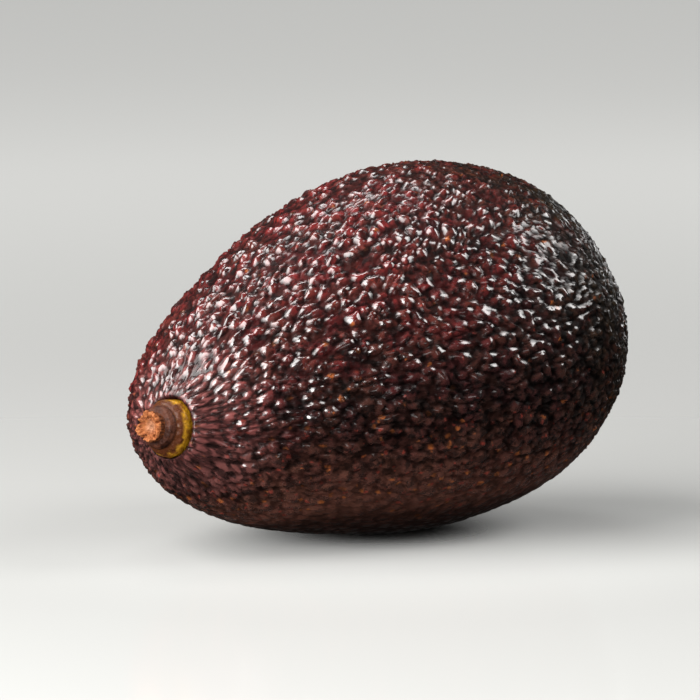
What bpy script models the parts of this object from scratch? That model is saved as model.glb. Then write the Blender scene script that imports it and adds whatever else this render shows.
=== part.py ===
"""Whole dark-skinned avocado, lying on its side on the small flat spot that its own weight has pressed.

Metres, +Z up. The origin is the centre of the flat spot. The fruit's long axis lies in the XZ plane,
with the blossom end towards +X and raised, and the stem end towards -X.

The fruit is one grown piece. The stem button, the stub of stalk that stays on the fruit when it is
clipped from the tree, is a piece of its own: it sits in a shallow socket and can be flicked out.
"""

import math

import bmesh
import bpy
import numpy as np
from mathutils import Matrix, Vector

# Fruit, along its own axis: +X is the blossom end and -X the stem end.
FRUIT_LENGTH = 0.0963
FRUIT_GIRTH = 0.0667  # mean diameter of the widest section
TAPER = 0.323  # how much fuller the blossom half is than the stem half
END_FULLNESS = 0.088  # fullness of both ends against the middle
SHOULDER = -0.085  # roundness of the stem end's shoulder, at the blossom end's cost
BROADENING = 0.038  # each section is this much wider than round, and this much lower
STEM_END_RISE = 0.0104  # the centreline bends up by this at the stem end
BELLY_SWAY = 0.0028  # the middle of the centreline bows sideways, towards +Y, by this
AXIS_TILT = math.radians(21.0)  # the blossom end is raised by this much

FLAT_SPOT_DEPTH = 0.0004  # how far the belly is flattened where it rests
SPHERE_SUBDIVISIONS = 5

# Stem button, turned about its own axis. Heights are from the skin where the button sits.
STEM_OFF_POLE = math.radians(15.2)  # angle from the stem end's pole to the button
STEM_ROUND_AXIS = math.radians(133.2)  # angle round the fruit's axis, from +Y towards +Z
BUTTON_LEAN = math.radians(13)  # how far the button stands out of square with the skin
LEAN_TOWARDS = (0.0, 0.8, 0.6)  # the side that it leans to, in the fruit's own axes
COLLAR_RADIUS = 0.0050
COLLAR_ROOT = -0.0022  # underside of the collar, inside the socket
COLLAR_EDGE = 0.0005  # where the collar's upright side ends and its rounded shoulder starts
COLLAR_CROWN = 0.0026  # top of the shoulder, at the foot of the ring
COLLAR_SHOULDER_STEPS = 4
RING_RADIUS = 0.0035
RING_TOP_RADIUS = 0.0031
RING_HEIGHT = 0.0040
STUB_WAIST_RADIUS = 0.0024
STUB_WAIST_HEIGHT = 0.0043
STUB_TOP_RADIUS = 0.0027
STUB_HEIGHT = 0.0056
TURNED_STEPS = 40
CLEARANCE = 0.0003

SKIN_COLOUR = (0.055, 0.012, 0.012, 1.0)
STUB_COLOUR = (0.42, 0.14, 0.035, 1.0)


def fullness(cosine):
    """Radius of a section, over that of a sphere, from the cosine of the angle from the blossom end."""
    return 1 + TAPER * cosine + END_FULLNESS * cosine**2 + SHOULDER * cosine**3


def fullest_section():
    """The largest value of sine times fullness, which is at the widest section."""
    angles = np.linspace(0, math.pi, 721)
    return float((np.sin(angles) * fullness(np.cos(angles))).max())


def fruit_point(direction):
    """The point of the fruit's skin, about its own axis, for a unit direction from the middle of a sphere."""
    cosine = direction.x
    radius = FRUIT_GIRTH / 2 * fullness(cosine) / fullest_section()
    towards_stem = ((1 - cosine) / 2) ** 2
    in_middle = 1 - cosine**2
    return Vector(
        (
            FRUIT_LENGTH / 2 * cosine,
            radius * direction.y * (1 + BROADENING) + BELLY_SWAY * in_middle,
            radius * direction.z * (1 - BROADENING) + STEM_END_RISE * towards_stem,
        )
    )


def stem_direction(off_pole, round_axis):
    """The unit direction at an angle from the stem end's pole."""
    return Vector(
        (
            -math.cos(off_pole),
            math.sin(off_pole) * math.cos(round_axis),
            math.sin(off_pole) * math.sin(round_axis),
        )
    )


def stem_frame():
    """The button's place on the fruit: its origin on the skin, and +Z along the stub, out of the fruit."""
    step = 0.01
    here = fruit_point(stem_direction(STEM_OFF_POLE, STEM_ROUND_AXIS))
    outwards = fruit_point(stem_direction(STEM_OFF_POLE + step, STEM_ROUND_AXIS)) - here
    around = fruit_point(stem_direction(STEM_OFF_POLE, STEM_ROUND_AXIS + step)) - here
    normal = outwards.cross(around).normalized()
    if normal.x > 0:
        normal.negate()
    sideways = Vector(LEAN_TOWARDS) - normal * normal.dot(Vector(LEAN_TOWARDS))
    stub_axis = normal + sideways.normalized() * math.tan(BUTTON_LEAN)
    return Matrix.Translation(here) @ stub_axis.to_track_quat("Z", "Y").to_matrix().to_4x4()


def clear_scene():
    for obj in list(bpy.data.objects):
        bpy.data.objects.remove(obj)


def new_collection(name):
    collection = bpy.data.collections.new(name)
    bpy.context.scene.collection.children.link(collection)
    return collection


def new_material(name, colour, roughness):
    material = bpy.data.materials.new(name)
    material.use_nodes = True
    shader = material.node_tree.nodes["Principled BSDF"]
    shader.inputs["Base Color"].default_value = colour
    shader.inputs["Roughness"].default_value = roughness
    shader.inputs["Metallic"].default_value = 0.0
    return material


def add_mesh(name, shape, collection, parent=None):
    """A new object that holds this bmesh."""
    mesh = bpy.data.meshes.new(name)
    shape.to_mesh(mesh)
    shape.free()
    obj = bpy.data.objects.new(name, mesh)
    collection.objects.link(obj)
    obj.parent = parent
    return obj


def make_cutter(obj):
    obj.hide_render = True
    obj.display_type = "WIRE"
    return obj


def cut(obj, cutter):
    modifier = obj.modifiers.new("cut_" + cutter.name, "BOOLEAN")
    modifier.operation = "DIFFERENCE"
    modifier.solver = "EXACT"
    modifier.object = cutter


def make_fruit_axis(collection, shape):
    """An empty that lays the fruit down: tilted, and placed so that its lowest point is just under the origin."""
    tilt = Matrix.Rotation(-AXIS_TILT, 4, "Y")
    lowest = min((tilt @ vertex.co for vertex in shape.verts), key=lambda point: point.z)
    empty = bpy.data.objects.new("fruit_axis", None)
    empty.empty_display_size = FRUIT_LENGTH / 4
    empty.rotation_euler = (0, -AXIS_TILT, 0)
    empty.location = -lowest - Vector((0, 0, FLAT_SPOT_DEPTH))
    collection.objects.link(empty)
    return empty


def fruit_shape():
    """A sphere whose points are moved out to the fruit's skin."""
    shape = bmesh.new()
    bmesh.ops.create_icosphere(shape, subdivisions=SPHERE_SUBDIVISIONS, radius=1.0)
    for vertex in shape.verts:
        vertex.co = fruit_point(vertex.co.normalized())
    return shape


def make_floor_cutter(collection):
    """Everything under the surface that the fruit rests on. It flattens the belly."""
    shape = bmesh.new()
    bmesh.ops.create_cube(shape, size=FRUIT_GIRTH)
    cutter = add_mesh("floor_cutter", shape, collection)
    cutter.location.z = -FRUIT_GIRTH / 2
    return make_cutter(cutter)


def make_socket_cutter(collection, parent, place):
    """The shallow round socket that the button sits in, a clearance wider and deeper than the button."""
    floor = COLLAR_ROOT - CLEARANCE
    height = 4 * abs(COLLAR_ROOT)
    shape = bmesh.new()
    bmesh.ops.create_cone(
        shape,
        cap_ends=True,
        segments=TURNED_STEPS,
        radius1=COLLAR_RADIUS + CLEARANCE,
        radius2=COLLAR_RADIUS + CLEARANCE,
        depth=height,
    )
    bmesh.ops.translate(shape, verts=shape.verts, vec=(0, 0, floor + height / 2))
    cutter = add_mesh("stem_socket_cutter", shape, collection, parent)
    cutter.matrix_local = place
    return make_cutter(cutter)


def collar_shoulder():
    """A quarter of an ellipse, from the foot of the ring out and down to the collar's upright side."""
    quarter = np.linspace(math.pi / 2, 0, COLLAR_SHOULDER_STEPS + 1)
    radii = RING_RADIUS + (COLLAR_RADIUS - RING_RADIUS) * np.cos(quarter)
    heights = COLLAR_EDGE + (COLLAR_CROWN - COLLAR_EDGE) * np.sin(quarter)
    return list(zip(radii.tolist(), heights.tolist()))


def make_stem_button(collection, parent, place):
    """The collar, the ring on it and the broken stub of stalk, turned from one profile."""
    profile = [
        (0.0, STUB_HEIGHT),
        (0.7 * STUB_TOP_RADIUS, STUB_HEIGHT),
        (STUB_TOP_RADIUS, 0.96 * STUB_HEIGHT),
        (STUB_WAIST_RADIUS, STUB_WAIST_HEIGHT),
        (RING_TOP_RADIUS, RING_HEIGHT),
        *collar_shoulder(),
        (COLLAR_RADIUS, COLLAR_ROOT),
        (0.0, COLLAR_ROOT),
    ]
    shape = bmesh.new()
    outline = [shape.verts.new((radius, 0, height)) for radius, height in profile]
    edges = [shape.edges.new(pair) for pair in zip(outline, outline[1:])]
    bmesh.ops.spin(
        shape,
        geom=outline + edges,
        cent=(0, 0, 0),
        axis=(0, 0, 1),
        angle=2 * math.pi,
        steps=TURNED_STEPS,
        use_merge=True,
    )
    bmesh.ops.remove_doubles(shape, verts=shape.verts, dist=1e-6)
    bmesh.ops.recalc_face_normals(shape, faces=shape.faces)
    button = add_mesh("stem_button", shape, collection, parent)
    button.matrix_local = place
    button.data.shade_smooth()
    button.data.set_sharp_from_angle(angle=math.radians(35))
    return button


def main():
    clear_scene()
    avocado = new_collection("avocado")
    cutters = new_collection("cutters")

    shape = fruit_shape()
    axis = make_fruit_axis(avocado, shape)
    place = stem_frame()

    fruit = add_mesh("fruit", shape, avocado, axis)
    fruit.data.shade_smooth()
    fruit.data.set_sharp_from_angle(angle=math.radians(35))
    cut(fruit, make_floor_cutter(cutters))
    cut(fruit, make_socket_cutter(cutters, axis, place))
    fruit.data.materials.append(new_material("skin", SKIN_COLOUR, 0.35))

    button = make_stem_button(avocado, axis, place)
    button.data.materials.append(new_material("stub_wood", STUB_COLOUR, 0.75))


main()
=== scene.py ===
import math
from itertools import product

import bpy
import numpy as np
from mathutils import Matrix, Vector


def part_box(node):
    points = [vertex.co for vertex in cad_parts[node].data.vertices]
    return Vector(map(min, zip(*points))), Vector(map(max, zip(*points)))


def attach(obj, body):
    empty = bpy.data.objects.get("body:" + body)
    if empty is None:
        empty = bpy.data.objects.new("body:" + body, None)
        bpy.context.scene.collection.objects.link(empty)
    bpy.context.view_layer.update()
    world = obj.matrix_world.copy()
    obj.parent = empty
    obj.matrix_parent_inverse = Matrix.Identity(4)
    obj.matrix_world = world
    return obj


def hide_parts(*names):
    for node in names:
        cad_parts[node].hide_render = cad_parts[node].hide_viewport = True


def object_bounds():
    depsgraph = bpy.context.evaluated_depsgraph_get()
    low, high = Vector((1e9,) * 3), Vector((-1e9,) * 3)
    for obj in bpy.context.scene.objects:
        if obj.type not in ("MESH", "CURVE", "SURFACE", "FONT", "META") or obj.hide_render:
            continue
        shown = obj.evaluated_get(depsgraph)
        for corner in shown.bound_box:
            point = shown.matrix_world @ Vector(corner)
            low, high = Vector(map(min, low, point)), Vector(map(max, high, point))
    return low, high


# A whole avocado on its side, in metres, +Z up. Its blossom end points to +X and up.
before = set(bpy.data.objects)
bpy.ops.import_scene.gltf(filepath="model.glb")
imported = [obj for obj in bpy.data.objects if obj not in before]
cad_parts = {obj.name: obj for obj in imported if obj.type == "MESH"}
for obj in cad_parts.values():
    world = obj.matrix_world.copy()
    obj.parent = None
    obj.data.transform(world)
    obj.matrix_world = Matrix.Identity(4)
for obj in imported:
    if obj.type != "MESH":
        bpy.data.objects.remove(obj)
cadLow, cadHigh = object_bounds()
print("packed model loaded")


def mixed(low, high, share):
    return low + (high - low) * share


def easedStep(low, high, values):
    # 0 below low, 1 above high, and the cubic 3t^2 - 2t^3 between them. low may be the larger one.
    t = np.clip((values - low) / (high - low), 0, 1)
    return t * t * (3 - 2 * t)


def bell(values, middle, width):
    # exp(-((x - middle) / width)^2)
    return np.exp(-(((values - middle) / width) ** 2))


def unitVectors(vectors):
    return vectors / np.linalg.norm(vectors, axis=-1, keepdims=True)


def cellRandom(cells, salt):
    # Three even random numbers for each whole-number cell: its three numbers are multiplied by large
    # odd numbers, joined by exclusive or, stirred by shifts and products, and the top 24 bits are
    # scaled to run from 0 to 1.
    c = cells.astype(np.int64).view(np.uint64)
    key = c[..., 0] * np.uint64(0x9E3779B97F4A7C15) ^ c[..., 1] * np.uint64(0xC2B2AE3D27D4EB4F)
    key = key ^ c[..., 2] * np.uint64(0x165667B19E3779F9) ^ np.uint64(salt * 7919)
    channels = []
    for channel in range(3):
        stirred = key + np.uint64(0x2545F4914F6CDD1D * (channel + 1) % 2**64)
        stirred = (stirred ^ stirred >> np.uint64(33)) * np.uint64(0xFF51AFD7ED558CCD)
        stirred = (stirred ^ stirred >> np.uint64(29)) * np.uint64(0xC4CEB9FE1A85EC53)
        channels.append((stirred >> np.uint64(40)) / 2**24)
    return np.stack(channels, axis=-1)


def softNoise(points, salt):
    # Three smooth noises from -1 to 1: random numbers at the corners of the unit lattice, blended
    # along each axis by the cubic 3t^2 - 2t^3.
    home = np.floor(points)
    t = points - home
    t = t * t * (3 - 2 * t)
    total = np.zeros_like(points)
    for corner in product((0, 1), repeat=3):
        share = np.prod(np.where(corner, t, 1 - t), axis=-1, keepdims=True)
        total += share * cellRandom(home + corner, salt)
    return 2 * total - 1


def cellNoise(points, salt, looseness=0.9):
    # Each unit cell holds one seed, moved off its middle by up to half the looseness. Gives each
    # point's distance to the nearest seed, to the second nearest, and a random number that belongs to
    # the nearest.
    home = np.floor(points)
    nearest = np.full(len(points), 9.0)
    second = nearest.copy()
    token = np.zeros(len(points))
    for offset in product((-1, 0, 1), repeat=3):
        cell = home + offset
        dice = cellRandom(cell, salt)
        seed = cell + 0.5 + looseness * (dice - 0.5)
        distance = np.linalg.norm(seed - points, axis=1)
        closer = distance < nearest
        second = np.where(closer, nearest, np.minimum(second, distance))
        token = np.where(closer, dice[:, 0], token)
        nearest = np.where(closer, distance, nearest)
    return nearest, second, token


def newMesh(name, points, faces, attributes):
    # A smooth-shaded mesh object at the origin. An attribute is a number or a vector for each point.
    mesh = bpy.data.meshes.new(name)
    mesh.from_pydata(points.tolist(), [], faces)
    for key, values in attributes.items():
        kind, field = ("FLOAT_VECTOR", "vector") if values.ndim == 2 else ("FLOAT", "value")
        layer = mesh.attributes.new(key, kind, "POINT")
        layer.data.foreach_set(field, values.astype(np.float32).ravel())
    mesh.shade_smooth()
    mesh.update()
    obj = bpy.data.objects.new(name, mesh)
    bpy.context.scene.collection.objects.link(obj)
    return obj


def newMaterial(name):
    material = bpy.data.materials.new(name)
    material.use_nodes = True
    tree = material.node_tree
    return material, tree, tree.nodes["Principled BSDF"]


def addNode(tree, kind, inputs=None, **settings):
    # A setting is one of the node's properties, and an input is a number, a colour or a socket.
    node = tree.nodes.new("ShaderNode" + kind)
    for key, value in settings.items():
        setattr(node, key, value)
    for key, value in (inputs or {}).items():
        if isinstance(value, bpy.types.NodeSocket):
            tree.links.new(value, node.inputs[key])
        else:
            node.inputs[key].default_value = value
    return node


def readAttribute(tree, name, output="Vector"):
    return addNode(tree, "Attribute", attribute_name=name).outputs[output]


def mixColours(tree, share, first, second, blend="MIX"):
    inputs = {0: share, 6: first, 7: second}
    return addNode(tree, "Mix", inputs, data_type="RGBA", blend_type=blend).outputs[2]


def calculate(tree, operation, *values, clamp=False):
    inputs = dict(enumerate(values))
    return addNode(tree, "Math", inputs, operation=operation, use_clamp=clamp).outputs[0]


def times(tree, first, second):
    return calculate(tree, "MULTIPLY", first, second)


def oneMinus(tree, value):
    return calculate(tree, "SUBTRACT", 1.0, value)


def spread(tree, value, low, high, to=(0.0, 1.0)):
    # Low to high becomes the new range, eased at both ends and held beyond them.
    inputs = {"Value": value, "From Min": low, "From Max": high, "To Min": to[0], "To Max": to[1]}
    return addNode(tree, "MapRange", inputs, interpolation_type="SMOOTHSTEP").outputs["Result"]


def newGroup(name, inputs, outputs):
    group = bpy.data.node_groups.new(name, "ShaderNodeTree")
    for key, (kind, value) in inputs.items():
        socket = group.interface.new_socket(name=key, in_out="INPUT", socket_type=kind)
        if value is not None:
            socket.default_value = value
    for key in outputs:
        group.interface.new_socket(name=key, in_out="OUTPUT", socket_type="NodeSocketFloat")
    given = group.nodes.new("NodeGroupInput").outputs
    result = group.nodes.new("NodeGroupOutput").inputs
    return group, given, result


def makeMottle():
    # Blotches: noise, eased from 0 at the low level to 1 at the high one.
    inputs = {
        "Place": ("NodeSocketVector", None),
        "Scale": ("NodeSocketFloat", 1.0),
        "Low": ("NodeSocketFloat", 0.4),
        "High": ("NodeSocketFloat", 0.6),
    }
    group, given, result = newGroup("mottle", inputs, ["Mask"])
    pattern = {"Vector": given["Place"], "Scale": given["Scale"], "Detail": 3.0}
    noise = addNode(group, "TexNoise", pattern).outputs["Fac"]
    group.links.new(spread(group, noise, given["Low"], given["High"]), result["Mask"])
    return group


def makeFlecks():
    # Small spots: in a share of the cells of a bent cell noise, the middle, out to about the size.
    # A spot fades as 1 - distance / size.
    inputs = {
        "Place": ("NodeSocketVector", None),
        "Scale": ("NodeSocketFloat", 1.0),
        "Share": ("NodeSocketFloat", 0.3),
        "Size": ("NodeSocketFloat", 0.2),
    }
    group, given, result = newGroup("flecks", inputs, ["Mask"])
    noise = addNode(group, "TexNoise", {"Vector": given["Place"], "Scale": 2.5, "Detail": 2.0})
    moved = {0: noise.outputs["Color"], "Scale": 0.5}
    moved = addNode(group, "VectorMath", moved, operation="SCALE")
    bent = addNode(group, "VectorMath", {0: given["Place"], 1: moved.outputs[0]}, operation="ADD")
    cells = addNode(group, "TexVoronoi", {"Vector": bent.outputs[0], "Scale": given["Scale"]})
    parts = addNode(group, "SeparateColor", {"Color": cells.outputs["Color"]})
    chosen = calculate(group, "LESS_THAN", parts.outputs[0], given["Share"])
    size = times(group, given["Size"], calculate(group, "ADD", parts.outputs[1], 0.5))
    out = calculate(group, "DIVIDE", cells.outputs["Distance"], size)
    inside = calculate(group, "SUBTRACT", 1.0, out, clamp=True)
    group.links.new(times(group, chosen, spread(group, inside, 0.0, 0.6)), result["Mask"])
    return group


mottle = makeMottle()
flecks = makeFlecks()


def useGroup(tree, group, **inputs):
    return addNode(tree, "Group", inputs, node_tree=group).outputs["Mask"]


# The body, in metres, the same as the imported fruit's.
body = {
    "length": 0.0963,  # along the fruit's own axis
    "girth": 0.0667,  # mean width of the widest section
    "taper": 0.323,  # fuller towards the blossom end
    "endFullness": 0.088,
    "shoulder": -0.085,  # rounder at the stem end
    "broadening": 0.038,  # sections wider than round by this, and lower by it
    "stemEndRise": 0.0104,
    "bellySway": 0.0028,  # the middle bows towards +Y
    "axisTilt": math.radians(21),
}


def fullness(c):
    return 1 + body["taper"] * c + body["endFullness"] * c**2 + body["shoulder"] * c**3


sweep = np.linspace(0, math.pi, 721)
fullestSection = (np.sin(sweep) * fullness(np.cos(sweep))).max()


def bodyPoints(directions):
    # A unit direction with cosine c from the blossom end goes to half the length times c along the
    # axis, and across it to half the girth times its own side parts times the fullness,
    # 1 + taper c + endFullness c^2 + shoulder c^3. The middle bows sideways by 1 - c^2, and the stem
    # end is lifted by ((1 - c) / 2)^2.
    c = directions[:, 0]
    radius = body["girth"] / 2 * fullness(c) / fullestSection
    across = radius * directions[:, 1] * (1 + body["broadening"]) + body["bellySway"] * (1 - c**2)
    upwards = radius * directions[:, 2] * (1 - body["broadening"])
    upwards = upwards + body["stemEndRise"] * ((1 - c) / 2) ** 2
    return np.stack([body["length"] / 2 * c, across, upwards], axis=1)


def bodyNormals(directions, step=0.002):
    # The cross product of two short chords of the body, along two directions square to the point's
    # own.
    first = unitVectors(np.cross(directions, (0.3, 0.5, 0.81)))
    second = np.cross(directions, first)
    chords = []
    for tangent in (first, second):
        ahead = bodyPoints(unitVectors(directions + step * tangent))
        behind = bodyPoints(unitVectors(directions - step * tangent))
        chords.append(ahead - behind)
    return unitVectors(np.cross(*chords))


def tilted(vectors):
    # Turned about Y, so that the blossom end rises.
    c, s = math.cos(body["axisTilt"]), math.sin(body["axisTilt"])
    return vectors @ np.array([[c, 0, s], [0, 1, 0], [-s, 0, c]])


def cubeSphere(steps):
    # Unit directions on six square grids, one for each side of a cube. The two grid numbers are
    # tangents of even angles, and each point is pushed out to the unit sphere. Points shared by two
    # sides are merged.
    tangents = np.tan(np.linspace(-math.pi / 4, math.pi / 4, steps + 1))
    u, v = np.meshgrid(tangents, tangents, indexing="ij")
    sides = []
    for axis, sign in product(range(3), (1, -1)):
        side = np.stack([np.full_like(u, sign), sign * u, v], axis=-1)
        sides.append(np.roll(side, axis, axis=-1).reshape(-1, 3))
    points = unitVectors(np.concatenate(sides))
    number = np.arange((steps + 1) ** 2).reshape(steps + 1, steps + 1)
    corners = (number[:-1, :-1], number[1:, :-1], number[1:, 1:], number[:-1, 1:])
    square = np.stack(corners, axis=-1).reshape(-1, 4)
    quads = np.concatenate([square + side * (steps + 1) ** 2 for side in range(6)])
    _, keep, where = np.unique(np.round(points, 7), axis=0, return_index=True, return_inverse=True)
    return points[keep], where.reshape(-1)[quads]


# The stem button's place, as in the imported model: angles on the sphere that the body is made from.
stem = {
    "offPole": math.radians(15.2),
    "roundAxis": math.radians(133.2),
    "lean": math.radians(13),
    "leanTowards": (0.0, 0.8, 0.6),
}


def stemDirection():
    off, around = stem["offPole"], stem["roundAxis"]
    side = math.sin(off)
    return np.array([[-math.cos(off), side * math.cos(around), side * math.sin(around)]])


def placeOnFrame(points):
    # Tilted, then moved so that the middle and the top of the body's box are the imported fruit's.
    sphere, _ = cubeSphere(96)
    bare = tilted(bodyPoints(sphere))
    low, high = (np.array(corner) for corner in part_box("fruit"))
    shift = (low + high) / 2 - (bare.min(axis=0) + bare.max(axis=0)) / 2
    shift[2] = high[2] - bare[:, 2].max()
    shift[0] = high[0] - bare[:, 0].max()
    return tilted(points) + shift


def stemAxes():
    # The button's origin and its three axes as rows, +Z out of the fruit: the skin's normal,
    # leaning to one side.
    normal = bodyNormals(stemDirection())[0]
    side = np.array(stem["leanTowards"])
    side = side - normal * (normal @ side)
    out = tilted(unitVectors(normal + unitVectors(side) * math.tan(stem["lean"])))
    first = unitVectors(np.cross((0, 0, 1), out))
    return placeOnFrame(bodyPoints(stemDirection()))[0], np.stack([first, np.cross(out, first), out])


stemOrigin, stemBasis = stemAxes()

skinLook = {
    "steps": 128,  # grid steps along a side of the cube
    "pebble": 0.0022,  # across one pebble, where the skin is evenly covered
    "patternTurn": (1.1, (1, 2, 3)),  # the pebbles' lattice is turned by this angle round this line
    "slowBend": (0.55, 0.33),  # the pattern is bent by this many pebbles, by noise of this scale
    "quickBend": (0.36, 1.1),
    "smallBend": (0.2, 2.4),  # a further bend of the small pebbles
    "smallScale": 2.1,  # small pebbles to a large one
    "crevice": 0.7,  # from a pebble's edge to its level top, in pebbles
    "smallCrevice": 0.8,
    "domeReach": 0.9,  # from a pebble's seed to the foot of its dome
    "largeHeights": (0.28, 0.60, 0.34),  # of a pebble's level, the dome on it, and its random part
    "smallHeights": (0.7, 0.6),  # of a small pebble's level and its random part
    "smallShare": 0.6,  # of small pebbles among the large ones at the blossom end
    "wormShare": 0.4,  # of worm-like ridges among the small ones there
    "wormScale": 1.25,
    "wormSharpness": 2.2,
    "relief": 0.00095,  # from the crevices to the pebbles' tops
    "skinLevel": 0.45,  # the pebble height that lies on the bare body's surface
    "smallRelief": 0.00030,
    "stemRelief": 0.72,  # share of the relief that stays round the stem
    "blossomRelief": 0.70,
    "bellyRelief": 0.22,
    "swell": 0.00030,  # slow lumps of the whole fruit
    "swellSizes": (0.016, 0.008),
    "stemZone": (1.0, 0.2),  # angles from the stem between which its zone grows to full
    "blossomZone": (0.2, 0.85),  # cosines from the blossom end
    "bellyZone": (0.028, 0.003),  # heights
    "blushAndLitSide": (-0.45, 0.10, 0.89),  # the side painted redder and lighter: partly the skin's own blush, partly painted light from the upper left
    "collarShare": 0.0614,  # of the way from the stem to the far end, in angle
    "drawnShare": 0.25,  # how strongly pebbles are drawn in to the stem
    "drawnPower": 0.30,
    "spreadPower": 1.4,
    "socketRadius": 0.0051,
    "socketFloor": -0.0026,
    "lipRadius": 0.0053,
    "lipWidth": 0.0022,  # how far out the skin is lifted to the lip
    "lipInnerWidth": 0.0006,
    "lip": 0.00060,  # the lip's height, at the button's place
    "lipRelief": 0.00012,
    "pressSoftness": 0.00012,  # how softly the belly bends into its flat spot
    "stemSide": 0.6,  # angle from the stem within which the socket and its lip lie
    "pebbleStart": (0.0001, 0.0009),  # distances past the socket's edge
    "waxStart": (0.0003, 0.0012),
    "socketWall": (0.0, -0.0003),
    "maroon": (0.082, 0.0070, 0.0070, 1),
    "plum": (0.019, 0.0038, 0.0038, 1),
    "olive": (0.013, 0.0095, 0.0036, 1),
    "brown": (0.030, 0.0115, 0.0066, 1),
    "bellyTint": (0.086, 0.031, 0.020, 1),
    "stemTint": (0.112, 0.037, 0.034, 1),
    "redFleck": (0.15, 0.018, 0.011, 1),
    "rustFleck": (0.19, 0.050, 0.010, 1),
    "grainHeight": 0.00052,  # of the fine relief on the pebbles
    "roughness": 0.28,  # of the skin under the wax, on the tops
    "wornRoughness": 0.12,  # more, where worn
    "creviceRoughness": 0.25,  # more, in the crevices
    "specular": 0.05,
    "wornOff": 0.2,  # share of the wax that is gone where worn
    "linedOff": 0.75,  # and between the worm-like lines
    "waxRoughness": 0.185,
    "waxIor": 1.75,
}


def drawnOut(share):
    # Where on the way from the stem, as a share of it, a point lies in the even pebble pattern.
    # Outside the collar it is a weighted sum of a low power, which crowds the pebbles into long
    # ridges round the stem, and a power above 1. Inside the collar it is a straight line.
    weight = skinLook["drawnShare"]

    def law(x):
        return weight * x ** skinLook["drawnPower"] + (1 - weight) * x ** skinLook["spreadPower"]

    edge = skinLook["collarShare"]
    return np.where(share < edge, law(edge) * share / edge, law(np.maximum(share, edge)))


def skinDirections(evenDirections):
    # Each direction of the even pattern is turned towards the stem, so that its angle from the stem
    # becomes the one that drawnOut takes to it. Points crowd round the stem as the pebbles do.
    pole = stemDirection()[0]
    cosine = np.clip(evenDirections @ pole, -1, 1)
    side = evenDirections - cosine[:, None] * pole
    length = np.linalg.norm(side, axis=1, keepdims=True)
    side = side / np.maximum(length, 1e-9)
    table = np.linspace(0, 1, 4001)
    angle = math.pi * np.interp(np.arccos(cosine) / math.pi, drawnOut(table), table)
    return np.cos(angle)[:, None] * pole + np.sin(angle)[:, None] * side, angle


def bendOf(key, space, salt):
    reach, scale = skinLook[key]
    return reach * softNoise(space * scale, salt)


def rounded(gap, reach):
    # 1 - (1 - g)^2, where g is the gap over the reach, held from 0 to 1.
    return 1 - (1 - np.clip(gap / reach, 0, 1)) ** 2


def pebbleHeights(space, nearBlossom):
    # Two sizes of pebbles, in a space bent by soft noise. A large one is a level top of random
    # height with a dome, 1 - (d / reach)^2 at the distance d from its seed, on it. Both sizes are
    # rounded down to a crevice where the two nearest seeds are equally far. Towards the blossom end
    # the large ones give way to small ones, and the small ones partly to worm-like ridges,
    # 1 - (sharpness n)^2 of a soft noise n.
    bent = space + bendOf("slowBend", space, 15) + bendOf("quickBend", space, 12)
    nearest, second, token = cellNoise(bent, 21)
    edge = rounded(second - nearest, skinLook["crevice"])
    dome = 1 - np.clip(nearest / skinLook["domeReach"], 0, 1) ** 2
    level, domed, uneven = skinLook["largeHeights"]
    large = edge * (level + domed * dome + uneven * (token - 0.5))
    bentAgain = bent * skinLook["smallScale"] + bendOf("smallBend", space, 13)
    nearest, second, token = cellNoise(bentAgain, 22)
    level, uneven = skinLook["smallHeights"]
    small = rounded(second - nearest, skinLook["smallCrevice"]) * (level + uneven * (token - 0.5))
    middling = skinLook["wormSharpness"] * softNoise(bent * skinLook["wormScale"], 14)[:, 0]
    worm = np.clip(1 - middling**2, 0, 1)
    large = mixed(large, 0.85 * small, skinLook["smallShare"] * nearBlossom)
    return large, mixed(small, worm, skinLook["wormShare"] * nearBlossom)


def pastSocket(key, fromAxis):
    # From 0 to 1 between two distances past the socket's edge.
    low, high = skinLook[key]
    return easedStep(skinLook["socketRadius"] + low, skinLook["socketRadius"] + high, fromAxis)


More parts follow.
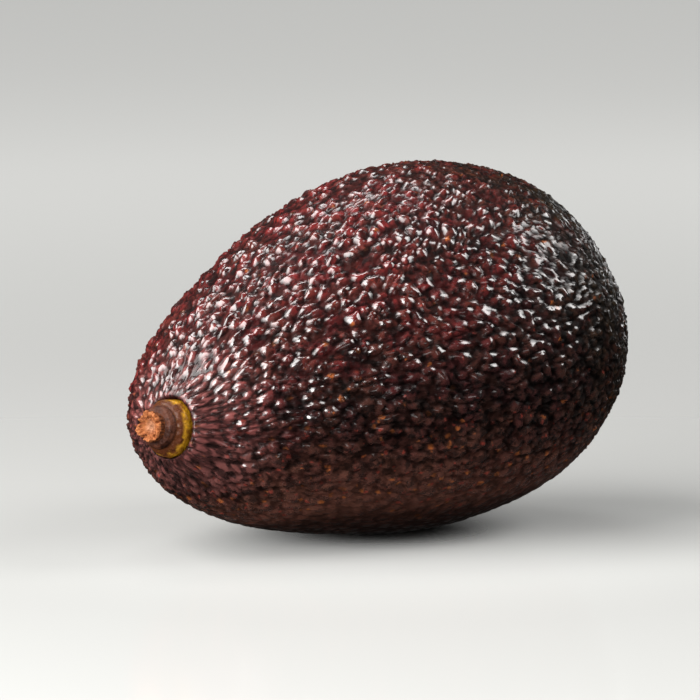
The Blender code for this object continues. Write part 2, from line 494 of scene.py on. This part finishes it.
def makeSkin():
    # The bare body's points are moved out along its normals by the pebbles' heights and a slow swell.
    even, quads = cubeSphere(skinLook["steps"])
    directions, angle = skinDirections(even)
    turn, line = skinLook["patternTurn"]
    space = bodyPoints(even) @ np.array(Matrix.Rotation(turn, 3, Vector(line))) / skinLook["pebble"]
    points = placeOnFrame(bodyPoints(directions))
    normals = tilted(bodyNormals(directions))

    nearStem = easedStep(*skinLook["stemZone"], angle)
    nearBlossom = easedStep(*skinLook["blossomZone"], directions[:, 0])
    large, small = pebbleHeights(space, nearBlossom)
    wide, narrow = skinLook["swellSizes"]
    swell = softNoise(points / wide, 31)[:, 0] + 0.5 * softNoise(points / narrow, 32)[:, 0]

    local = (points - stemOrigin) @ stemBasis.T
    fromAxis = np.where(angle < skinLook["stemSide"], np.linalg.norm(local[:, :2], axis=1), 1.0)
    uncovered = pastSocket("pebbleStart", fromAxis)
    underside = easedStep(*skinLook["bellyZone"], points[:, 2]) * (1 - 0.8 * nearStem)
    # Redder towards the upper left: partly the skin's own blush, partly painted light from that side.
    blushAndLight = easedStep(-0.1, 0.95, normals @ skinLook["blushAndLitSide"] + 0.4 * nearStem)
    relief = skinLook["relief"] * mixed(1.0, skinLook["stemRelief"], nearStem)
    relief = relief * mixed(1.0, skinLook["blossomRelief"], nearBlossom)
    smooth = mixed(1.0, skinLook["bellyRelief"], underside)
    above = large - skinLook["skinLevel"]  # over the bare body's surface, as a share of the relief
    height = uncovered * smooth * (relief * above + skinLook["smallRelief"] * (small - 0.5))
    height += skinLook["swell"] * swell * uncovered
    points = points + normals * height[:, None]

    # Round the button the skin is lifted, or lowered, to a nearly level rim, by a bell curve over the
    # distance from the button's axis. Inside the rim it drops to the socket's flat floor.
    local = (points - stemOrigin) @ stemBasis.T
    inner = fromAxis < skinLook["lipRadius"]
    width = np.where(inner, skinLook["lipInnerWidth"], skinLook["lipWidth"])
    rim = skinLook["lip"] + skinLook["lipRelief"] * above
    lift = bell(fromAxis, skinLook["lipRadius"], width) * (rim - local[:, 2])
    lift = mixed(lift, skinLook["socketFloor"] - local[:, 2], pastSocket("socketWall", fromAxis))
    points = points + lift[:, None] * stemBasis[2]

    # The belly is pressed flat where it rests: a height z becomes (z + sqrt(z^2 + softness^2)) / 2,
    # which bends smoothly to zero below the floor.
    z = points[:, 2]
    pressed = (z + np.sqrt(z**2 + skinLook["pressSoftness"] ** 2)) / 2
    points[:, 2] = pressed - pressed.min()

    pebble = np.clip(large + 0.35 * (small - 0.5), 0, 1) * uncovered
    crowded = easedStep(0.5, 1.0, nearStem)
    # Wax lies on the tops and not in the crevices, thinly at the stem and hardly under the belly.
    wax = np.maximum(easedStep(0.05, 0.35, pebble), 0.4 * crowded) * (1 - 0.1 * crowded)
    wax = wax * pastSocket("waxStart", fromAxis) * (1 - 0.9 * easedStep(0.8, 1.0, underside))
    attributes = {
        "skinSpace": space,
        "pebble": pebble,
        "wax": wax,
        "zones": np.stack([blushAndLight, nearBlossom, underside], axis=1),
        "nearStem": nearStem,
    }
    skin = newMesh("pebbledSkin", points, quads.tolist(), attributes)
    skin.data.materials.append(skinMaterial())
    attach(skin, "root")
    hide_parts("fruit")
    return skin


def pebbleColour(tree, space, pebble, zones):
    # The tops' colour, from plum to maroon by the blush and painted light of the upper left, with brown
    # patches, olive at the blossom end, paler tints on the belly and at the stem, and flecks. It is
    # darkened by painted shade in the crevices and where the belly touches down, and by a fine mottle.
    blushAndLight, nearBlossom, underside = zones["X"], zones["Y"], zones["Z"]
    patches = useGroup(tree, mottle, Place=space, Scale=0.10, Low=0.42, High=0.60)
    smallPatches = useGroup(tree, mottle, Place=space, Scale=0.55, Low=0.38, High=0.62)
    dulled = times(tree, patches, 0.5)
    # The blushed upper side is also painted lighter: maroon there, plum away from it.
    redAndLitShare = calculate(tree, "SUBTRACT", times(tree, blushAndLight, 1.2), dulled, clamp=True)
    tops = mixColours(tree, redAndLitShare, skinLook["plum"], skinLook["maroon"])
    tops = mixColours(tree, times(tree, smallPatches, 0.5), tops, skinLook["brown"])
    greened = times(tree, nearBlossom, spread(tree, smallPatches, 0.0, 1.0, (0.55, 0.95)))
    tops = mixColours(tree, greened, tops, skinLook["olive"])
    tops = mixColours(tree, times(tree, underside, 0.70), tops, skinLook["bellyTint"])
    nearStem = readAttribute(tree, "nearStem", "Fac")
    tops = mixColours(tree, spread(tree, nearStem, 0.35, 1.0, (0.0, 0.7)), tops, skinLook["stemTint"])

    lowSide = times(tree, underside, oneMinus(tree, underside))
    share = calculate(tree, "ADD", 0.10, times(tree, lowSide, 1.3))
    rustShare = times(tree, share, 0.45)
    redFlecks = useGroup(tree, flecks, Place=space, Scale=2.1, Share=share, Size=0.36)
    rustFlecks = useGroup(tree, flecks, Place=space, Scale=1.7, Share=rustShare, Size=0.42)
    tops = mixColours(tree, times(tree, redFlecks, 0.65), tops, skinLook["redFleck"])
    tops = mixColours(tree, times(tree, rustFlecks, 0.8), tops, skinLook["rustFleck"])

    # Painted shade: darker in the crevices, less so on the belly.
    paintedCreviceShade = spread(tree, pebble, 0.0, 0.45, (0.25, 1.0))
    paintedCreviceShade = calculate(tree, "ADD", paintedCreviceShade, times(tree, underside, 0.60), clamp=True)
    speckle = useGroup(tree, mottle, Place=space, Scale=1.5, Low=0.36, High=0.60)
    speckle = calculate(tree, "MAXIMUM", speckle, times(tree, underside, 0.60))
    paintedShadeAndMottle = times(tree, paintedCreviceShade, spread(tree, speckle, 0.0, 1.0, (0.22, 1.0)))
    # Painted contact shadow where the belly touches down.
    paintedShadeAndMottle = times(tree, paintedShadeAndMottle, spread(tree, underside, 0.86, 1.0, (1.0, 0.35)))
    return mixColours(tree, 1.0, tops, paintedShadeAndMottle, blend="MULTIPLY")


def skinMaterial():
    material, tree, shader = newMaterial("waxySkin")
    space = readAttribute(tree, "skinSpace")
    pebble = readAttribute(tree, "pebble", "Fac")
    zones = addNode(tree, "SeparateXYZ", {"Vector": readAttribute(tree, "zones")}).outputs
    nearBlossom, underside = zones["Y"], zones["Z"]
    colour = pebbleColour(tree, space, pebble, zones)
    tree.links.new(colour, shader.inputs["Base Color"])

    # Fine relief: grain and small bumps, which at the blossom end give way to worm-like lines where a
    # noise is near its middle, and which weaken on the belly.
    grain = addNode(tree, "TexNoise", {"Vector": space, "Scale": 1.6, "Detail": 1.5, "Roughness": 0.5})
    pattern = {"Vector": space, "Scale": 1.6, "Smoothness": 0.5}
    bumps = addNode(tree, "TexVoronoi", pattern, feature="SMOOTH_F1")
    bumps = times(tree, bumps.outputs["Distance"], 0.8)
    relief = calculate(tree, "SUBTRACT", grain.outputs["Fac"], bumps)
    worms = addNode(tree, "TexNoise", {"Vector": space, "Scale": 1.05, "Detail": 0.0}).outputs["Fac"]
    worms = calculate(tree, "ABSOLUTE", calculate(tree, "SUBTRACT", worms, 0.5))
    worms = spread(tree, worms, 0.12, 0.01)
    lined = spread(tree, nearBlossom, 0.1, 0.8)
    relief = times(tree, relief, oneMinus(tree, times(tree, lined, 0.6)))
    relief = calculate(tree, "ADD", relief, times(tree, worms, times(tree, lined, 0.5)))
    relief = times(tree, relief, spread(tree, underside, 0.2, 1.0, (1.0, 0.25)))
    bump = addNode(tree, "Bump", {"Height": relief, "Distance": skinLook["grainHeight"]})
    tree.links.new(bump.outputs["Normal"], shader.inputs["Normal"])

    # The skin under the wax is rougher in the crevices. The wax is worn off in patches, and at the
    # blossom end it lies mostly on the lines.
    worn = useGroup(tree, mottle, Place=space, Scale=0.9, Low=0.40, High=0.75)
    height = spread(tree, pebble, 0.0, 0.6)
    whereWorn = times(tree, worn, skinLook["wornRoughness"])
    rough = calculate(tree, "ADD", skinLook["roughness"], whereWorn)
    inCrevice = spread(tree, height, 0.0, 1.0, (skinLook["creviceRoughness"], 0.0))
    tree.links.new(calculate(tree, "ADD", rough, inCrevice), shader.inputs["Roughness"])
    shader.inputs["Specular IOR Level"].default_value = skinLook["specular"]
    unworn = oneMinus(tree, times(tree, worn, skinLook["wornOff"]))
    betweenLines = times(tree, lined, oneMinus(tree, worms))
    onLines = oneMinus(tree, times(tree, betweenLines, skinLook["linedOff"]))
    waxed = times(tree, times(tree, unworn, readAttribute(tree, "wax", "Fac")), onLines)
    tree.links.new(waxed, shader.inputs["Coat Weight"])
    shader.inputs["Coat Roughness"].default_value = skinLook["waxRoughness"]
    shader.inputs["Coat IOR"].default_value = skinLook["waxIor"]
    return material


# The button, in millimetres: its outline is given by the distance from its axis, the height over
# the skin, and the part it is of, 0 for the collar, 1 for the ring, 2 for the stub and 3 for the
# torn end.
button = {
    "outline": [
        (0.0, -2.2, 0), (4.5, -2.2, 0), (4.8, -1.9, 0), (4.85, -0.6, 0), (4.85, 0.5, 0), (4.75, 1.25, 0),
        (4.4, 1.95, 0), (3.95, 2.4, 0), (3.6, 2.6, 0), (3.6, 2.75, 1), (3.65, 3.2, 1), (3.4, 3.85, 1),
        (2.95, 4.02, 1), (2.55, 4.05, 1), (2.38, 4.2, 2), (2.42, 4.7, 2), (2.6, 5.25, 2), (2.62, 5.5, 3),
        (2.3, 5.62, 3), (1.6, 5.42, 3), (0.9, 5.25, 3), (0.0, 5.2, 3),
    ],
    "rows": 170,
    "around": 176,
    "rimRadius": 2.5,  # of the torn end
    "lumps": (0.035, 0.12),  # as a share of the radius, and in height
    "lumpSize": 2.4,
    "creases": (0.02, 0.06),
    "creaseScale": (1.5, 1.5, 0.5),
    "splinterScale": (2.2, 2.2, 0.6),
    "stubFibres": 0.06,
    "stubSplinters": 0.10,
    "tornSplinters": 0.75,
    "tornFibres": 0.15,
    "hollow": 0.5,
    "slant": (0.25, 2.2),  # how far the stub's end rises to one side, and that side's angle
    # Colours. A pair is blended by a pattern.
    "collar": ((0.230, 0.112, 0.005, 1), (0.110, 0.040, 0.003, 1)),
    "collarTop": (0.042, 0.011, 0.003, 1),
    "collarSpot": (0.075, 0.035, 0.004, 1),
    "ring": ((0.017, 0.0046, 0.0022, 1), (0.046, 0.014, 0.007, 1)),
    "wood": ((0.12, 0.034, 0.010, 1), (0.045, 0.012, 0.005, 1)),
    "torn": ((0.23, 0.082, 0.028, 1), (0.13, 0.034, 0.010, 1)),
    "pith": ((0.17, 0.060, 0.028, 1), (0.34, 0.165, 0.090, 1)),
    "crack": (0.060, 0.013, 0.005, 1),
    "grainHeight": 0.00022,
    "roughness": (0.38, 0.75),  # on the collar and on the wood
    "coat": (0.12, 0.03),
    "coatRoughness": 0.22,
    "coatIor": 1.5,
    "specular": 0.08,
}


def wheelPlaces(radii, heights, turns):
    # A profile carried round +Z: radius times the cosine and the sine of the turn, and the height.
    places = np.stack([radii * np.cos(turns), radii * np.sin(turns), heights], axis=-1)
    return places.reshape(-1, 3)


def makeButton():
    # The outline is followed at even steps, rounded by a running mean, and turned about the
    # button's axis. The first and last rows are single points. All radii grow by lumps and creases,
    # the stub's by fibres and splinters too. With r as the share of the rim's radius, the torn end
    # rises by splinters times r and fibres times r^2, and sinks by (1 - r)^2.
    outline = np.array(button["outline"])
    runs = np.concatenate([[0], np.cumsum(np.hypot(*np.diff(outline[:, :2], axis=0).T))])
    along = np.linspace(0, runs[-1], button["rows"])
    radius, height, part = (np.interp(along, runs, column) for column in outline.T)
    for column in (radius, height):
        column[2:-2] = np.convolve(column, np.ones(5) / 5, mode="valid")
    turn = np.arange(button["around"]) * 2 * math.pi / button["around"]
    radii = np.repeat(radius[:, None], len(turn), axis=1)
    heights = np.repeat(height[:, None], len(turn), axis=1)
    parts = np.repeat(part[:, None], len(turn), axis=1)
    turns = np.repeat(turn[None, :], len(radius), axis=0)

    ring = wheelPlaces(radii, heights, turns)
    lumps = softNoise(ring / button["lumpSize"], 41)[:, 0].reshape(radii.shape)
    creases = softNoise(ring * button["creaseScale"], 42)[:, 0].reshape(radii.shape)
    strands = wheelPlaces(6, heights * 0.3 + radii * 0.15, turns)
    fibres = softNoise(strands, 43)[:, 0].reshape(radii.shape)
    splinters = softNoise(ring * button["splinterScale"], 44)[:, 1].reshape(radii.shape)
    shown = easedStep(-0.5, 0.3, heights)
    isStub = easedStep(1.6, 2.1, parts)
    isTorn = easedStep(2.4, 3.0, parts)
    rim = radii / button["rimRadius"]
    shares = zip(button["lumps"], button["creases"])
    wider, higher = (ofLumps * lumps + ofCreases * creases for ofLumps, ofCreases in shares)
    rough = button["stubFibres"] * fibres + button["stubSplinters"] * splinters
    torn = button["tornSplinters"] * splinters * rim + button["tornFibres"] * fibres * rim**2
    torn = torn - button["hollow"] * (1 - rim) ** 2
    rise, side = button["slant"]
    radii = radii * (1 + shown * wider + isStub * rough)
    heights = heights + shown * higher * (1 - isTorn)
    heights = heights + isTorn * torn
    heights += rise * isStub * np.cos(turns - side) * rim

    points = stemOrigin + wheelPlaces(radii / 1000, heights / 1000, turns) @ stemBasis
    count = len(turn)
    points = np.concatenate([points[:1], points[count:-count], points[-1:]])
    number = 1 + np.arange(len(points) - 2).reshape(-1, count)
    after = np.roll(number, -1, axis=1)
    quads = np.stack([number[:-1], after[:-1], after[1:], number[1:]], axis=-1).reshape(-1, 4).tolist()
    bottom = [[0, b, a] for a, b in zip(number[0].tolist(), after[0].tolist())]
    top = [[len(points) - 1, a, b] for a, b in zip(number[-1].tolist(), after[-1].tolist())]

    def perPoint(grid):
        # One value for each point: the first and the last row count once.
        return np.concatenate([[grid[0, 0]], grid[1:-1].ravel(), [grid[-1, 0]]])

    wheel = (np.cos(turns) * 3, np.sin(turns) * 3, heights * 0.5 + radii * 0.3)
    attributes = {
        "part": perPoint(parts),
        "wheel": np.stack([perPoint(column) for column in wheel], axis=1),
        "rim": perPoint(rim * isTorn),
        "rise": perPoint(heights),
    }
    stalk = newMesh("stalkButton", points, quads + bottom + top, attributes)
    stalk.data.materials.append(buttonMaterial())
    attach(stalk, "root")
    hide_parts("stem_button")
    return stalk


def buttonMaterial():
    material, tree, shader = newMaterial("dryStalk")
    inMetres = addNode(tree, "TexCoord").outputs["Object"]
    toMillimetres = {"Vector": inMetres, "Scale": (1000, 1000, 1000)}
    place = addNode(tree, "Mapping", toMillimetres).outputs["Vector"]
    wheel = readAttribute(tree, "wheel")
    part = readAttribute(tree, "part", "Fac")
    rim = readAttribute(tree, "rim", "Fac")
    blotches = useGroup(tree, mottle, Place=place, Scale=0.55, Low=0.42, High=0.62)
    spots = useGroup(tree, flecks, Place=place, Scale=1.6, Share=0.35, Size=0.35)
    strands = useGroup(tree, mottle, Place=wheel, Scale=3.2, Low=0.35, High=0.65)
    cracks = useGroup(tree, mottle, Place=place, Scale=1.1, Low=0.52, High=0.66)

    # The collar is blotched, spotted, and brown above an uneven line. The torn end is paler in the
    # middle, and cracked.
    collar = mixColours(tree, blotches, *button["collar"])
    rise = calculate(tree, "ADD", readAttribute(tree, "rise", "Fac"), times(tree, blotches, 0.5))
    collar = mixColours(tree, spread(tree, rise, 1.45, 2.15), collar, button["collarTop"])
    collar = mixColours(tree, times(tree, spots, 0.5), collar, button["collarSpot"])
    ring = mixColours(tree, blotches, *button["ring"])
    wood = mixColours(tree, strands, *button["wood"])
    torn = mixColours(tree, strands, *button["torn"])
    pith = mixColours(tree, strands, *button["pith"])
    torn = mixColours(tree, spread(tree, rim, 0.15, 0.55), pith, torn)
    torn = mixColours(tree, times(tree, cracks, 0.7), torn, button["crack"])
    colour = mixColours(tree, spread(tree, part, 0.6, 0.95), collar, ring)
    colour = mixColours(tree, spread(tree, part, 1.4, 1.9), colour, wood)
    colour = mixColours(tree, spread(tree, part, 2.5, 3.0), colour, torn)
    tree.links.new(colour, shader.inputs["Base Color"])

    fine = addNode(tree, "TexNoise", {"Vector": wheel, "Scale": 5.0, "Detail": 4.0})
    coarse = addNode(tree, "TexNoise", {"Vector": place, "Scale": 1.6, "Detail": 4.0})
    relief = calculate(tree, "ADD", fine.outputs["Fac"], coarse.outputs["Fac"])
    bump = addNode(tree, "Bump", {"Height": relief, "Distance": button["grainHeight"]})
    tree.links.new(bump.outputs["Normal"], shader.inputs["Normal"])
    tree.links.new(spread(tree, part, 0.3, 2.0, button["roughness"]), shader.inputs["Roughness"])
    tree.links.new(spread(tree, part, 0.3, 0.9, button["coat"]), shader.inputs["Coat Weight"])
    shader.inputs["Coat Roughness"].default_value = button["coatRoughness"]
    shader.inputs["Coat IOR"].default_value = button["coatIor"]
    shader.inputs["Specular IOR Level"].default_value = button["specular"]
    return material


# The floor rises all round into a low wall, so that no edge shows from any side.
studio = {
    "floorRadius": 2.2,
    "bend": 0.45,  # radius of the rise into the wall
    "wallTop": 0.62,
    "around": 96,
    "lights": [
        # azimuth and elevation in degrees, distance, width and height in metres, watts, colour
        ("keyBox", -108, 38, 0.95, 1.05, 1.00, 36.0, (1.0, 0.985, 0.97)),
        ("frontBox", -73, 15, 0.58, 0.30, 0.28, 5.2, (1.0, 0.985, 0.97)),
        ("lowBox", -18, 7, 1.00, 0.24, 0.24, 0.5, (1.0, 0.985, 0.97)),
        ("sideBox", 57, 39, 1.00, 0.50, 0.62, 9.0, (1.0, 0.99, 0.98)),
        ("rimBox", 112, 10, 1.00, 0.25, 0.40, 1.0, (1.0, 1.0, 1.0)),
        ("topBox", 160, 62, 1.00, 0.42, 0.30, 3.6, (1.0, 1.0, 1.0)),
    ],
    "sky": (1.0, 1.0, 0.98, 1.0),
    "skyStrength": 0.6,
    "skyInGloss": 0.04,  # the sky's strength in mirror reflections
    "paintedPoolSpot": (-0.10, -0.12, 0),  # in front of the fruit: the middle of a painted pool of light, where the floor is palest
    "paintedPoolColours": ((0.288, 0.290, 0.283, 1), (0.250, 0.252, 0.246, 1)),  # paler there, in the painted pool of light, and darker far from there
    "paintedContactShadow": (0.08, 0.08, 0.078, 1),  # a painted contact shadow under the fruit
    "contactGlow": (0.0, 0.0, 0.0, 1),
    "nearGlow": (0.12, 0.12, 0.118, 1),
    "farGlow": (0.44, 0.44, 0.428, 1),
    "frontGlow": (0.25, 0.25, 0.245, 1),
    "floorRoughness": 0.12,
    "floorSpecular": 0.35,
}


def floorMaterial():
    # Pale all over, paler in a painted pool of light in front of the fruit, and dark in a painted
    # contact shadow under it. A weak glow of the floor's own stands for the light that a whole room
    # would send, by
    # the distance from the fruit: none at the contact, more of it far away, and a painted pool of it in
    # front.
    material, tree, shader = newMaterial("paleFloor")
    place = addNode(tree, "TexCoord").outputs["Object"]
    far = addNode(tree, "VectorMath", {0: place}, operation="LENGTH").outputs["Value"]
    ends = {0: place, 1: studio["paintedPoolSpot"]}
    fromPaintedPool = addNode(tree, "VectorMath", ends, operation="DISTANCE").outputs["Value"]
    # Painted pool of light: the floor is paler near the spot in front of the fruit.
    colour = mixColours(tree, spread(tree, fromPaintedPool, 0.10, 0.45), *studio["paintedPoolColours"])
    # Painted contact shadow: dark right under the fruit.
    colour = mixColours(tree, spread(tree, far, 0.006, 0.026), studio["paintedContactShadow"], colour)
    tree.links.new(colour, shader.inputs["Base Color"])
    atFruit = spread(tree, far, 0.008, 0.026)
    glow = mixColours(tree, atFruit, studio["contactGlow"], studio["nearGlow"])
    glow = mixColours(tree, spread(tree, far, 0.03, 0.8), glow, studio["farGlow"])
    # The painted pool of glow in front of the fruit, kept off the contact.
    paintedPoolShare = times(tree, spread(tree, fromPaintedPool, 0.165, 0.115), spread(tree, far, 0.012, 0.030))
    paintedPoolShare = times(tree, paintedPoolShare, spread(tree, far, 0.100, 0.036))
    glow = mixColours(tree, paintedPoolShare, glow, studio["frontGlow"])
    tree.links.new(glow, shader.inputs["Emission Color"])
    shader.inputs["Emission Strength"].default_value = 1.0
    shader.inputs["Roughness"].default_value = studio["floorRoughness"]
    shader.inputs["Specular IOR Level"].default_value = studio["floorSpecular"]
    return material


def makeStudio():
    # A turned profile: a flat disc, a quarter circle up from it, and an upright wall.
    bendAngles = np.linspace(0, math.pi / 2, 13)
    flat = np.linspace(0, studio["floorRadius"], 9)[1:]
    bendRadii = studio["floorRadius"] + studio["bend"] * np.sin(bendAngles[1:])
    bendHeights = studio["bend"] * (1 - np.cos(bendAngles[1:]))
    radii = np.concatenate([[0.0], flat, bendRadii, [bendRadii[-1]]])
    heights = np.concatenate([[0.0], flat * 0, bendHeights, [studio["wallTop"]]])
    around = studio["around"]
    turn = np.arange(around) * 2 * math.pi / around
    ring = np.ones((1, around))
    grid = wheelPlaces(radii[1:, None] * ring, heights[1:, None] * ring, turn[None, :])
    points = np.concatenate([[[0.0, 0.0, 0.0]], grid])
    number = 1 + np.arange((len(radii) - 1) * around).reshape(-1, around)
    after = np.roll(number, -1, axis=1)
    quads = np.stack([number[:-1], number[1:], after[1:], after[:-1]], axis=-1).reshape(-1, 4).tolist()
    fan = [[0, a, b] for a, b in zip(number[0].tolist(), after[0].tolist())]
    cove = newMesh("studioCove", points, quads + fan, {})
    cove.data.materials.append(floorMaterial())
    cove.visible_glossy = False  # the floor's own light makes no glints on the wax


def towards(azimuth, elevation):
    # Azimuth 0 is the -Y side and 90 the +X side.
    a, e = math.radians(azimuth), math.radians(elevation)
    return Vector((math.sin(a) * math.cos(e), -math.cos(a) * math.cos(e), math.sin(e)))


middle = (cadLow + cadHigh) / 2


def facingMiddle(name, data, direction, distance):
    obj = bpy.data.objects.new(name, data)
    obj.location = middle + distance * direction
    obj.rotation_euler = direction.to_track_quat("Z", "Y").to_euler()
    bpy.context.scene.collection.objects.link(obj)
    return obj


def makeLights():
    for name, azimuth, elevation, distance, width, height, watts, colour in studio["lights"]:
        lamp = bpy.data.lights.new(name, "AREA")
        lamp.shape = "RECTANGLE"
        lamp.size = width
        lamp.size_y = height
        lamp.energy = watts
        lamp.color = colour
        facingMiddle(name, lamp, towards(azimuth, elevation), distance)
    world = bpy.data.worlds.new("studioSky")
    world.use_nodes = True
    background = world.node_tree.nodes["Background"]
    background.inputs["Color"].default_value = studio["sky"]
    glossy = addNode(world.node_tree, "LightPath").outputs["Is Glossy Ray"]
    mirrored = times(world.node_tree, glossy, studio["skyStrength"] - studio["skyInGloss"])
    strength = calculate(world.node_tree, "SUBTRACT", studio["skyStrength"], mirrored)
    world.node_tree.links.new(strength, background.inputs["Strength"])
    bpy.context.scene.world = world


# The camera stands low, on the stem end's side, far back behind a long lens.
view = {
    "azimuth": -40.0,
    "elevation": 7.0,
    "distance": 0.857,
    "shownWidth": 0.1217,  # width of what the lens takes in, at the fruit
    "sensor": 36.0,
}


def makeCamera():
    data = bpy.data.cameras.new("camera")
    data.sensor_width = view["sensor"]
    data.lens = view["sensor"] * view["distance"] / view["shownWidth"]
    data.clip_start = 0.01
    camera = facingMiddle("camera", data, towards(view["azimuth"], view["elevation"]), view["distance"])
    bpy.context.scene.camera = camera


makeSkin()
print("skin made")
makeButton()
print("stalk button made")
makeStudio()
makeLights()
makeCamera()
bpy.context.scene.view_settings.view_transform = "Standard"
print("studio, lights and camera made")

bpy.context.view_layer.update()
